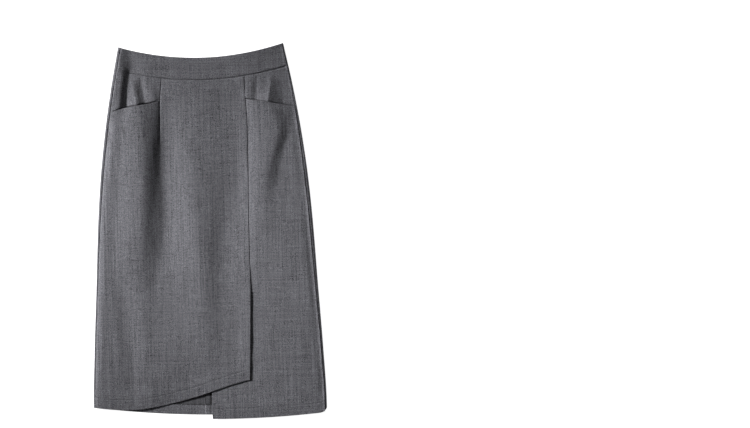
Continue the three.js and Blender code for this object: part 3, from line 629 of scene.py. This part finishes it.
def suiting_material(name, tone):
    """Plain-weave wool suiting in grey melange yarn."""
    material = bpy.data.materials.new(name)
    material.use_nodes = True
    tree = material.node_tree
    shader = tree.nodes["Principled BSDF"]
    coordinates = node(tree, "ShaderNodeTexCoord").outputs["Object"]
    total = None
    for spacing, length, along_y, strength in YARN_STREAKS:
        streak = thread_noise(tree, coordinates, spacing, length, along_y)
        streak = maths(tree, "MULTIPLY", streak, strength)
        total = streak if total is None else maths(tree, "ADD", total, streak)
    split = node(tree, "ShaderNodeSeparateXYZ")
    tree.links.new(coordinates, split.inputs[0])
    turn = 2 * math.pi * 1000 / YARN_PITCH
    warp = maths(tree, "SINE", maths(tree, "MULTIPLY", split.outputs["X"], turn), 0)
    weft = maths(tree, "SINE", maths(tree, "MULTIPLY", split.outputs["Y"], turn), 0)
    weave = maths(tree, "MULTIPLY", warp, weft)
    total = maths(tree, "ADD", total, maths(tree, "MULTIPLY", weave, 0.07))
    shade = maths(tree, "ADD", total, 1.0)
    scaled = node(tree, "ShaderNodeVectorMath", operation="SCALE")
    scaled.inputs[0].default_value = tone
    tree.links.new(shade, scaled.inputs["Scale"])
    tree.links.new(scaled.outputs[0], shader.inputs["Base Color"])
    height = maths(tree, "ADD", maths(tree, "MULTIPLY", weave, 0.35), total)
    bump = node(tree, "ShaderNodeBump", Strength=0.35, Distance=0.00025)
    tree.links.new(height, bump.inputs["Height"])
    tree.links.new(bump.outputs[0], shader.inputs["Normal"])
    shader.inputs["Roughness"].default_value = 0.88
    shader.inputs["Specular IOR Level"].default_value = 0.25
    shader.inputs["Sheen Weight"].default_value = 0.12
    shader.inputs["Sheen Roughness"].default_value = 0.5
    return material


def metal_material(name):
    """Dark enamelled zinc, a little worn."""
    material = bpy.data.materials.new(name)
    material.use_nodes = True
    tree = material.node_tree
    shader = tree.nodes["Principled BSDF"]
    coordinates = node(tree, "ShaderNodeTexCoord").outputs["Object"]
    noise = node(tree, "ShaderNodeTexNoise", Scale=900.0, Detail=3.0)
    tree.links.new(coordinates, noise.inputs["Vector"])
    ramp = node(tree, "ShaderNodeValToRGB")
    ramp.color_ramp.elements[0].color = (0.045, 0.045, 0.052, 1)
    ramp.color_ramp.elements[1].color = (0.13, 0.13, 0.145, 1)
    tree.links.new(noise.outputs["Fac"], ramp.inputs["Fac"])
    tree.links.new(ramp.outputs["Color"], shader.inputs["Base Color"])
    rough = maths(tree, "ADD", maths(tree, "MULTIPLY", noise.outputs["Fac"], 0.15), 0.28)
    tree.links.new(rough, shader.inputs["Roughness"])
    shader.inputs["Metallic"].default_value = 0.75
    return material


def tape_material(name):
    """Woven zip tape with its moulded coil."""
    material = bpy.data.materials.new(name)
    material.use_nodes = True
    tree = material.node_tree
    shader = tree.nodes["Principled BSDF"]
    coordinates = node(tree, "ShaderNodeTexCoord").outputs["Object"]
    split = node(tree, "ShaderNodeSeparateXYZ")
    tree.links.new(coordinates, split.inputs[0])
    ribs = maths(tree, "SINE", maths(tree, "MULTIPLY", split.outputs["Y"], 2 * math.pi / 0.0013), 0)
    shade = maths(tree, "ADD", maths(tree, "MULTIPLY", ribs, 0.3), 0.9)
    scaled = node(tree, "ShaderNodeVectorMath", operation="SCALE")
    scaled.inputs[0].default_value = (0.05, 0.05, 0.055)
    tree.links.new(shade, scaled.inputs["Scale"])
    tree.links.new(scaled.outputs[0], shader.inputs["Base Color"])
    bump = node(tree, "ShaderNodeBump", Strength=0.8, Distance=0.0004)
    tree.links.new(ribs, bump.inputs["Height"])
    tree.links.new(bump.outputs[0], shader.inputs["Normal"])
    shader.inputs["Roughness"].default_value = 0.6
    return material


SUITING_TONE = (0.1395, 0.139, 0.1535)
PAINTED_SHADE_UNDER_WRAP = 0.62  # painted shade: the inside of the back seen under the wrap is coloured darker, for the wrap's shade over it
# Dark tone of the overlock thread, also used as painted shadow beside the underlap's edge and along the top
# of the hem turn-up
OVERLOCK_AND_SHADOW_TONE = 0.2
suiting = suiting_material("suiting", SUITING_TONE)
# Painted shade: a darker copy of the suiting for the inside of the back under the wrap
suiting_painted_shade = suiting_material("suiting_painted_shade", [PAINTED_SHADE_UNDER_WRAP * v for v in SUITING_TONE])
overlock_and_painted_shadow = suiting_material("overlock_and_painted_shadow", [OVERLOCK_AND_SHADOW_TONE * v for v in SUITING_TONE])
zip_metal = metal_material("zip_metal")
zip_tape = tape_material("zip_tape")


# Camera, floor and light
PHOTO_WIDTH, PHOTO_HEIGHT = 750, 428
PIXEL = 2.0  # millimetres of the skirt to a pixel of the photo
PHOTO_TURN = math.radians(1.55)
PHOTO_ORIGIN = (210, 232)  # pixel near the middle of the front view
PHOTO_ORIGIN_X = 4.26  # pixels from there to the skirt's centre line
LENS = 150.0
SENSOR = 36.0

dx = PHOTO_WIDTH / 2 - PHOTO_ORIGIN[0]
dy = PHOTO_HEIGHT / 2 - PHOTO_ORIGIN[1]
turn_cos, turn_sin = math.cos(PHOTO_TURN), math.sin(PHOTO_TURN)
aim_x = PIXEL * (turn_cos * dx - turn_sin * dy + PHOTO_ORIGIN_X)
aim_y = -PIXEL * (turn_sin * dx + turn_cos * dy) + ORIGIN_Y
camera_height = PHOTO_WIDTH * PIXEL * LENS / SENSOR
camera_data = bpy.data.cameras.new("camera")
camera_data.lens = LENS
camera_data.sensor_width = SENSOR
camera_data.clip_start, camera_data.clip_end = 0.1, 30.0
camera = bpy.data.objects.new("camera", camera_data)
camera.location = (aim_x * MM, aim_y * MM, camera_height * MM)
camera.rotation_euler = (0, 0, -PHOTO_TURN)
bpy.context.scene.collection.objects.link(camera)
bpy.context.scene.camera = camera

bpy.ops.mesh.primitive_plane_add(size=12, location=(0, 0, -0.0003))
floor_plane = bpy.context.active_object
floor_plane.name = "floor"
floor_material = bpy.data.materials.new("floor")
floor_material.use_nodes = True
floor_shader = floor_material.node_tree.nodes["Principled BSDF"]
floor_shader.inputs["Base Color"].default_value = (0.7, 0.7, 0.7, 1)
floor_shader.inputs["Roughness"].default_value = 0.9
floor_shader.inputs["Specular IOR Level"].default_value = 0.1
floor_shader.inputs["Emission Color"].default_value = (1, 1, 1, 1)
floor_shader.inputs["Emission Strength"].default_value = 0.95
floor_plane.data.materials.append(floor_material)


def area_light(name, azimuth, elevation, distance, size, power, spread, aim_y):
    """A soft light at this bearing from +X and height above the floor, aimed at x = 0, y = aim_y."""
    data = bpy.data.lights.new(name, "AREA")
    data.shape = "DISK"
    data.size = size
    data.energy = power
    data.spread = math.radians(spread)
    light = bpy.data.objects.new(name, data)
    a, e = math.radians(azimuth), math.radians(elevation)
    place = (math.cos(a) * math.cos(e), math.sin(a) * math.cos(e), math.sin(e))
    light.location = (distance * place[0], distance * place[1] + aim_y, distance * place[2])
    light.rotation_euler = (math.pi / 2 - e, 0, a + math.pi / 2)
    bpy.context.scene.collection.objects.link(light)
    return light


area_light(
    "key", azimuth=160, elevation=26, distance=5.2, size=0.87, power=6.0, spread=16, aim_y=-0.035
)
STUDIO_FILL = 0.095
world = bpy.data.worlds.new("studio")
bpy.context.scene.world = world
world.use_nodes = True
world.node_tree.nodes["Background"].inputs["Color"].default_value = (1, 1, 1, 1)
world.node_tree.nodes["Background"].inputs["Strength"].default_value = STUDIO_FILL
bpy.context.scene.view_settings.view_transform = "Standard"
bpy.context.scene.view_settings.look = "None"


# Front pieces
def front_wrap_panel():
    def outer(y):
        return right_seam(y) - SEAM_MEET

    pocket = from_edge() + shares(44) + [(1.0, -d) for d in (1.2, 0.6, 0.25)]
    centre = [(0.0, d) for d in (0.0, 0.25, 0.6, 1.2)] + shares(70) + to_edge()
    columns = column_family(outer, dart, pocket) + column_family(dart, front_seam, centre)
    pocket_columns = len(pocket)

    def mouth(x):
        return np.where(x < DART[1][1], right_mouth(x), RIGHT_MOUTH[3][1])

    def hem_top(x):
        return wrap_hem(x) + HEM_DEPTH + 4

    top = rows_between(below_seam, mouth, from_edge() + shares(14))
    body = rows_between(mouth, hem_top, from_edge(EDGE_STEPS + [1.6, 2.6, 4.0, 6.0]) + shares(170)[2:])
    rows = top + body + hem_rows(wrap_hem)
    x, y = net_points(columns, rows)
    edge = np.minimum(np.minimum(x - outer(y), front_seam(y) - x), y - wrap_hem(x))
    in_pocket = np.arange(len(columns))[:, None] < pocket_columns
    above_mouth = np.arange(len(rows))[None] < len(top)
    edge = np.minimum(edge, np.where(in_pocket, mouth(x) - y, below_seam(x) - y))
    edge = np.where(above_mouth & ~in_pocket, np.minimum(edge, x - dart(y)), edge)
    stitched = groove(y - wrap_hem(x) - HEM_DEPTH, 0.42, 1.6)
    stitched += np.where(x < dart(y), groove(right_mouth(x) - y - 6, 0.5, 1.5), 0)
    seam_line = groove(x - dart(y) + 0.6, 1.2, 2.0) * ease(DART_END_Y - 12, DART_END_Y + 6, y)
    detail = unevenness(x, y) * ease(0, 14, np.minimum(x - outer(y), 60)) - stitched
    detail = detail - np.where(above_mouth, groove(x - dart(y), 0.5, 1.6), seam_line)
    detail += puckers(y - wrap_hem(x) - HEM_DEPTH, x, 0.05) - groove(below_seam(x) - y, 1.1, 2.0)
    detail += puckers(x - front_seam(y), y, 0.05) + puckers(x - dart(y), y, 0.05) * ease(150, 190, y)
    turned = y <= wrap_hem(x) + HEM_DEPTH - 0.4
    upper, lower = panel_sides(x, y, wrap_floor, CLOTH, edge, detail, turned)
    cells = np.ones((len(columns) - 1, len(rows) - 1), bool)
    cells[:pocket_columns, : len(top)] = False
    return shell_object("wrap_cloth", upper, lower, cells, suiting)


def front_side_panel():
    def outer(y):
        return left_seam(y) + SEAM_MEET

    lap = from_edge() + shares(26)
    side = [(0.0, d) for d in (0.0, 0.6, 1.4)] + shares(58)[1:] + to_edge()
    columns = column_family(lap_edge, front_seam, lap) + column_family(front_seam, outer, side)

    def mouth(x):
        return left_mouth(np.maximum(x, LEFT_MOUTH[0][0]))

    def hem_top(x):
        return side_hem(x) + HEM_DEPTH + 4

    body = rows_between(mouth, hem_top, from_edge(EDGE_STEPS + [1.6, 2.6, 4.0, 6.0]) + shares(190)[2:])
    rows = body + hem_rows(side_hem)
    x, y = net_points(columns, rows)
    edge = np.minimum(np.minimum(x - lap_edge(y), outer(y) - x), np.minimum(y - side_hem(x), mouth(x) - y))
    stitched = groove(y - side_hem(x) - HEM_DEPTH, 0.42, 1.6) + groove(mouth(x) - y - 6, 0.5, 1.5)
    detail = unevenness(x + 31, y - 17) * ease(0, 14, left_seam(y) - x) - stitched
    detail += puckers(y - side_hem(x) - HEM_DEPTH, x, 0.05) + puckers(x - front_seam(y), y + 5, 0.06)
    turned = y <= side_hem(x) + HEM_DEPTH - 0.4
    upper, lower = panel_sides(x, y, side_panel_floor, CLOTH, edge, detail, turned)
    cells = np.ones((len(columns) - 1, len(rows) - 1), bool)
    return shell_object("side_panel_cloth", upper, lower, cells, suiting)


def pocket_bearer(name, left, right, bag_left, bag_right, mouth, floor):
    def tucked(x, y):
        above = y - mouth(x)
        inside = ease(1, 12, x - left(y)) * ease(1, 12, right(y) - x)
        tuck = BEARER_TUCK * (1 - np.clip(above / BEARER_TUCK_HEIGHT, 0, 1)) ** 2
        low = floor(x, y) + (BEARER_SWELL * (1 - ease(3, 22, above)) - tuck) * inside
        return np.maximum(low, front_base(x, y) - 0.4)

    first = from_edge() + shares(10)
    last = shares(10) + to_edge()
    columns = column_family(left, bag_left, first)
    columns += column_family(bag_left, bag_right, [(0.0, 0.0)] + shares(36) + [(1.0, 0.0)])
    columns += column_family(bag_right, right, last)

    def bag_bottom(x):
        return mouth(x) - POCKET_BAG_DEPTH

    def mouth_line(x):
        return mouth(x) + SEAM_GAP

    near_mouth = [(1.0, -d) for d in (5.5, 4.6, 3.8, 3.0, 2.2, 1.4, 0.7, 0.0)]
    top = rows_between(below_seam, mouth_line, from_edge() + shares(24)[:-2] + near_mouth)
    bag = rows_between(mouth_line, bag_bottom, shares(24) + to_edge())
    x, y = net_points(columns, top + bag)
    edge = np.minimum(np.minimum(x - left(y), right(y) - x), np.minimum(y - bag_bottom(x), below_seam(x) - y))
    detail = unevenness(x - 12, y + 40) * ease(0, 14, right(y) - x) * ease(0, 14, x - left(y))
    detail += puckers(below_seam(x) - y, x, 0.05) - groove(below_seam(x) - y, 1.1, 2.0)
    detail = detail - groove(x - dart(y), 0.5, 1.8)
    upper, lower = panel_sides(x, y, tucked, CLOTH, edge, detail)
    cells = np.ones((len(columns) - 1, len(top + bag) - 1), bool)
    cells[: len(first), len(top) - 1 :] = False
    cells[-len(last) :, len(top) - 1 :] = False
    return shell_object(name, upper, lower, cells, suiting)


def front_waistband():
    def right(y):
        return right_seam(y) - SEAM_MEET

    def left(y):
        return left_seam(y) + SEAM_MEET

    columns = column_family(right, left, from_edge() + shares(150)[1:-1] + to_edge())
    rows = rows_between(waist_top, above_seam, from_edge() + shares(26) + to_edge())
    x, y = net_points(columns, rows)
    edge = np.minimum(np.minimum(x - right(y), left(y) - x), np.minimum(waist_top(x) - y, y - above_seam(x)))
    detail = unevenness(x + 70, y * 1.5) * 0.6 * ease(0, 14, left(y) - x) * ease(0, 14, x - right(y))
    detail = detail - groove(waist_top(x) - y - 8.5, 0.2, 1.2) * ease(-40, 60, x)
    detail += puckers(y - above_seam(x), x + 3, 0.05)
    detail -= groove(y - above_seam(x), 1.6, 2.8) * (1 + 0.35 * (1 - ease(-110, -60, x)))
    tilt = ease(40, 90, x) - 1.7 * (1 - ease(20, 52, np.abs(x - 11)))
    detail += tilt * (1 - ease(0, 13, waist_top(x) - y))
    upper, lower = panel_sides(x, y, yoke_floor, BAND_WALL, edge, detail)
    cells = np.ones((len(columns) - 1, len(rows) - 1), bool)
    return shell_object("waistband_cloth", upper, lower, cells, suiting)


# Back pieces
def back_dart_dip(x, y):
    across = 1 - ease(0, BACK_DART_HALF, np.abs(np.abs(x) - back_dart(y)))
    line = groove(np.abs(x) - back_dart(y), 0.35, 0.8)
    return (BACK_DART_DEPTH * across + line) * ease(BACK_DART[1][0], BACK_DART[1][0] + 60, y)


def side_lift(x, y):
    return np.where(x < 0, right_lift(y), left_lift(y))


def side_top(x, y):
    """Top of the front beside the side seam, which the rolled edge of the back meets."""
    hem = np.where(x < 0, wrap_hem(x), side_hem(x))
    return front_base(x, y) + hem_lift(y - hem) + CLOTH + side_lift(x, y)


def band_side_top(x, y):
    return front_base(x, y) + BAND_WALL + side_lift(x, y)


def band_dip(x, y):
    return groove(y - above_seam(x), 0.6, 1.8)


ARC_STEPS = 14
STRIP_SHARES = [0.85, 0.7, 0.55, 0.4, 0.3, 0.2, 0.12, 0.06, 0.02, 0.0]  # from the roll to the seam


def back_half(
    name, side, flat_columns, rows, wall, top_at_side, dip, centre_edge, ends, allowance, turned_at,
    with_painted_shade=False,
):
    """Half of the back, which rolls up and over to the side seam with the front."""
    def seam_at(y):
        return left_seam(y) if side > 0 else -right_seam(y)

    strip = STRIP_SHARES
    arcs = [k / ARC_STEPS for k in range(1, ARC_STEPS + 1)]
    signed = [lambda y, f=f: side * f(y) for f in flat_columns]
    rolled = [1 - math.sin(math.pi * r) for r in [0.0] + arcs] + [1.0] * len(strip)
    signed += [
        lambda y, r=r: side * (half_width(y) - r * mix(3, 4.5, ease(-350, -300, y))) for r in rolled
    ]
    x_row, y = net_points(signed, rows, BAND_MIDDLE_Y if wall == BAND_WALL else 0.0)
    radius = top_at_side(side * seam_at(y), y) / 2
    bend = half_width(y) - radius
    count = len(flat_columns)
    away = np.minimum(np.abs(x_row), bend)
    kinds = np.arange(len(signed))[:, None]
    angle = np.zeros_like(y)
    for k, share in enumerate(arcs):
        angle[count + 1 + k] = share * math.pi
    angle[count + 1 + len(arcs) :] = math.pi
    flat = kinds <= count
    low = zip_bulge(away, y) + dip(side * away, y)
    edge = np.minimum(away - centre_edge(y), ends(x_row, y))
    share = rim_share(edge)
    extra = np.where(away <= allowance + 0.01, ALLOWANCE_WALL, 0) * (allowance > 0)
    extra = extra + np.where(turned_at(x_row, y) & (away < bend - 3), CLOTH, 0)
    out_x = np.where(flat, away, bend + radius * np.sin(angle))
    in_x = np.where(flat, away, bend + (radius - wall) * np.sin(angle))
    out_z = np.where(flat, low, radius * (1 - np.cos(angle)))
    in_z = np.where(flat, low + wall, radius - (radius - wall) * np.cos(angle))
    first_strip = count + 1 + len(arcs)
    for k, part in enumerate(strip):
        row = first_strip + k
        reach = part * (bend[row] - seam_at(y[row]))
        out_x[row] = in_x[row] = seam_at(y[row]) + reach
        share[row] = np.minimum(share[row], rim_share(reach))
        sunk = SEAM_GROOVE * (1 - part**2) * (1 - np.minimum(reach / SEAM_GROOVE_WIDTH, 1)) ** 2
        out_z[row] -= sunk
        in_z[row] -= sunk
    middle_x, middle_z = (out_x + in_x) / 2, (out_z + in_z) / 2
    out_x, out_z = mix(middle_x, out_x, share), mix(middle_z, out_z, share)
    in_x, in_z = mix(middle_x, in_x, share), mix(middle_z, in_z, share) + extra * share
    lower = np.stack([side * out_x, y, out_z], -1)
    upper = np.stack([side * in_x, y, in_z], -1)
    cells = np.ones((len(signed) - 1, len(rows) - 1), bool)
    choice = np.zeros(cells.shape, int)
    if with_painted_shade:
        # Painted shade: the inside of the back above the turn-up takes the darker copy of the suiting, for
        # the wrap's shade over it
        above_hem = (y - back_hem(x_row))[:count, 1:]
        choice[:count][above_hem > HEM_DEPTH - 0.6] = 1
        # Painted shadow: the top edge of the hem turn-up takes the dark overlock colour, for the shaded gap
        # under it
        choice[:count][np.abs(above_hem - HEM_DEPTH) < 0.7] = 2
        # Dark overlocked edges of the seam allowances, and a dark strip along the centre seam: on the left
        # half it is as wide as the underlap and is painted shadow beside the underlap's edge
        near = away[:count, 1:]
        serged_and_shadowed = (near > allowance - OVERLOCK) & (near < allowance + 0.2)
        serged_and_shadowed |= near < (UNDERLAP_X if side > 0 else 0.7)
        choice[:count][serged_and_shadowed & (above_hem > HEM_DEPTH)] = 2
    return shell_object(name, upper, lower, cells, suiting, (choice, [suiting_painted_shade, overlock_and_painted_shadow]))


def back_panel(name, side):
    def dart_side(y, offset):
        return back_dart(np.maximum(y, BACK_DART[1][0])) + offset

    def columns_to(count, start, end):
        return [lambda y, k=k: mix(start(y), end(y), k / count) for k in range(count)]

    flat_columns = [lambda y, d=d: d + 0 * y for d in EDGE_STEPS]
    on_allowance = (2.0, UNDERLAP_X, BACK_SEAM_ALLOWANCE - OVERLOCK, 8.0, BACK_SEAM_ALLOWANCE)
    flat_columns += [lambda y, d=d: d + 0 * y for d in on_allowance]
    flat_columns += [lambda y, d=d: BACK_SEAM_ALLOWANCE + d + 0 * y for d in (0.3, 1.0)]
    flat_columns += columns_to(
        22, lambda y: BACK_SEAM_ALLOWANCE + 1.8 + 0 * y, lambda y: dart_side(y, -6.0)
    )
    flat_columns += [lambda y, d=d: dart_side(y, d) for d in (-6.0, -4, -2, -0.9, -0.4, 0, 0.4, 0.9, 2, 4)]
    flat_columns += columns_to(34, lambda y: dart_side(y, 6.0), lambda y: half_width(y) - 8)
    flat_columns += [lambda y, d=d: half_width(y) - d for d in (8, 6, 4.5)]

    def hem_top(x):
        return back_hem(x) + HEM_DEPTH + 4

    rows = rows_between(below_seam, hem_top, from_edge() + shares(150))
    rows += hem_rows(back_hem)

    def ends(x, y):
        return np.minimum(below_seam(x) - y, y - back_hem(x))

    def dip(x, y):
        stitched = groove(y - back_hem(x) - HEM_DEPTH, 0.15, 0.9)
        return back_dart_dip(x, y) + stitched + groove(below_seam(x) - y, 0.5, 1.6)

    return back_half(
        name, side, flat_columns, rows, CLOTH, side_top, dip,
        lambda y: 0 * y, ends, BACK_SEAM_ALLOWANCE,
        lambda x, y: y <= back_hem(x) + HEM_DEPTH - 0.4,
        True,
    )


def back_waistband(name, side):
    def centre_edge(y):
        return mix(SEAM_GAP / 2, 3.2, ease(BAND_MIDDLE_Y, BAND_MIDDLE_Y + 6, y))

    flat_columns = [lambda y, d=d: centre_edge(y) + d for d in EDGE_STEPS]
    flat_columns += [lambda y, d=d: d + 0 * y for d in (5.5, 8, 11, 14, 18, 22, 28, 34)]
    flat_columns += [lambda y, k=k: mix(34.0, half_width(y) - 8, k / 26) for k in range(1, 26)]
    flat_columns += [lambda y, d=d: half_width(y) - d for d in (8, 6, 4.5)]
    rows = rows_between(waist_top, above_seam, from_edge() + shares(24) + to_edge())

    def ends(x, y):
        return np.minimum(waist_top(x) - y, y - above_seam(x))

    return back_half(
        name, side, flat_columns, rows, BAND_WALL, band_side_top, band_dip,
        centre_edge, ends, 0, lambda x, y: np.zeros(x.shape, bool),
    )


wrap = front_wrap_panel()
side_panel = front_side_panel()
bearer_right = pocket_bearer(
    "bearer_right_cloth",
    lambda y: right_seam(y) - SEAM_MEET,
    lambda y: dart(y) - SEAM_GAP / 2,
    lambda y: right_seam(y) + BAG_INSET,
    lambda y: dart(y) - BAG_INSET,
    right_mouth,
    yoke_floor,
)
bearer_left = pocket_bearer(
    "bearer_left_cloth",
    lambda y: front_seam(y) - LAP,
    lambda y: left_seam(y) + SEAM_MEET,
    lambda y: front_seam(y) + BAG_INSET,
    lambda y: left_seam(y) - BAG_INSET,
    lambda x: left_mouth(np.maximum(x, LEFT_MOUTH[0][0])),
    left_bearer_floor,
)
waistband = front_waistband()
back_left = back_panel("back_left_cloth", 1)
back_right = back_panel("back_right_cloth", -1)
band_left = back_waistband("back_band_left_cloth", 1)
band_right = back_waistband("back_band_right_cloth", -1)

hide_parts("front_wrap_panel")
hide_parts("front_side_panel")
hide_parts("pocket_bearer_right")
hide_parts("pocket_bearer_left")
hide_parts("front_waistband")
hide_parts("back_panel_left")
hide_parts("back_panel_right")
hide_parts("back_waistband_left")
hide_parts("back_waistband_right")

for name, material in (("zip_chain", zip_tape), ("zip_slider", zip_metal), ("zip_pull", zip_metal)):
    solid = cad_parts[name]
    solid.data.materials.clear()
    solid.data.materials.append(material)
